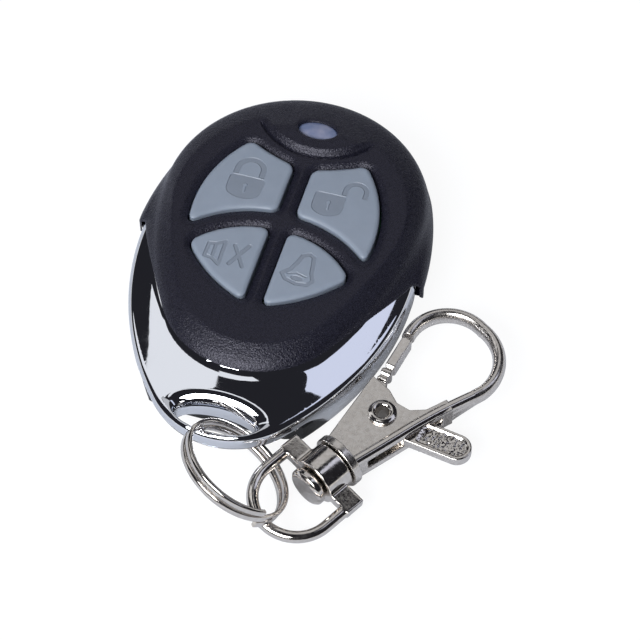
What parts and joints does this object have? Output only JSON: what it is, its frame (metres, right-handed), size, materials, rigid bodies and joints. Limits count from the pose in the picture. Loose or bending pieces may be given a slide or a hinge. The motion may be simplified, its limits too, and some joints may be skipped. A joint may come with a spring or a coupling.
{
  "type": "car key fob",
  "caption": "Oval remote key fob with grey keys, an indicator window and a chrome shroud, on a split ring with a swivel snap hook.",
  "frame": {"origin": "centre of the fob's flat back, midway between its flanks", "axes": "+Z out of the back through the keys, +Y towards the indicator end, +X to the right-hand keys"},
  "size_m": [0.054, 0.0685, 0.0132],
  "materials": {
    "cover_black": "satin",
    "case_black": "satin",
    "bezel_chrome": "polished",
    "key_silicone": "satin",
    "lens_clear": "glossy",
    "led_clear": "glossy",
    "board_green": "satin",
    "chip_black": "matte",
    "switch_shell": "satin",
    "plunger_resin": "satin",
    "contact_nickel": "satin",
    "cell_steel": "satin",
    "screw_steel": "satin",
    "hook_nickel": "polished",
    "spring_steel": "satin"
  },
  "bodies": {
    "fob": {"top_shell": "cover_black", "chrome_bezel": "bezel_chrome", "bottom_shell": "case_black", "keypad_mat": "key_silicone", "led_lens": "lens_clear", "indicator_led": "led_clear", "circuit_board": "board_green", "controller_chip": "chip_black", "rf_resonator": "cell_steel", "tuning_capacitor": "plunger_resin", "antenna_loop": "contact_nickel", "chip_parts": "chip_black", "coin_cell": "cell_steel", "battery_plus_clip": "contact_nickel", "battery_minus_contact": "contact_nickel", "case_screws": "screw_steel", "lock_switch": "switch_shell", "unlock_switch": "switch_shell", "mute_switch": "switch_shell", "chime_switch": "switch_shell"},
    "lock_button": {"lock_key": "key_silicone", "lock_plunger": "plunger_resin"},
    "unlock_button": {"unlock_key": "key_silicone", "unlock_plunger": "plunger_resin"},
    "mute_button": {"mute_key": "key_silicone", "mute_plunger": "plunger_resin"},
    "chime_button": {"chime_key": "key_silicone", "chime_plunger": "plunger_resin"},
    "ring": {"split_ring": "hook_nickel"},
    "eye": {"swivel_eye": "hook_nickel"},
    "hook": {"hook_body": "hook_nickel", "swivel_stem": "hook_nickel", "gate_rivet": "hook_nickel"},
    "gate": {"gate_lever": "hook_nickel", "gate_spring": "spring_steel"}
  },
  "joints": [
    {"name": "lock_press", "type": "slide", "parent": "fob", "child": "lock_button", "axis": [0, 0, -1], "range_m": [0, 0.0005], "stiffness_N_per_m": 1500},
    {"name": "unlock_press", "type": "slide", "parent": "fob", "child": "unlock_button", "axis": [0, 0, -1], "range_m": [0, 0.0005], "stiffness_N_per_m": 1500},
    {"name": "mute_press", "type": "slide", "parent": "fob", "child": "mute_button", "axis": [0, 0, -1], "range_m": [0, 0.0005], "stiffness_N_per_m": 1500},
    {"name": "chime_press", "type": "slide", "parent": "fob", "child": "chime_button", "axis": [0, 0, -1], "range_m": [0, 0.0005], "stiffness_N_per_m": 1500},
    {"name": "ring_swing", "type": "hinge", "parent": "fob", "child": "ring", "pos_m": [0, -0.0296, 0.0061], "axis": [-1, 0, 0], "range_deg": [0, 50]},
    {"name": "eye_swing", "type": "hinge", "parent": "ring", "child": "eye", "pos_m": [0.0099, -0.03793, 0.00357], "axis": [0.861, -0.4947, -0.1184], "range_deg": [0, 90]},
    {"name": "hook_swivel", "type": "hinge", "parent": "eye", "child": "hook", "pos_m": [0.0165, -0.0265, 0.0038], "axis": [0.4999, 0.8659, 0.0175], "range_deg": [-120, 120]},
    {"name": "gate_swing", "type": "hinge", "parent": "hook", "child": "gate", "pos_m": [0.02017, -0.01915, 0.00394], "axis": [0.0087, 0.0151, -0.9998], "range_deg": [0, 25], "stiffness_Nm_per_rad": 0.002, "springref_deg": -20.05}
  ]
}
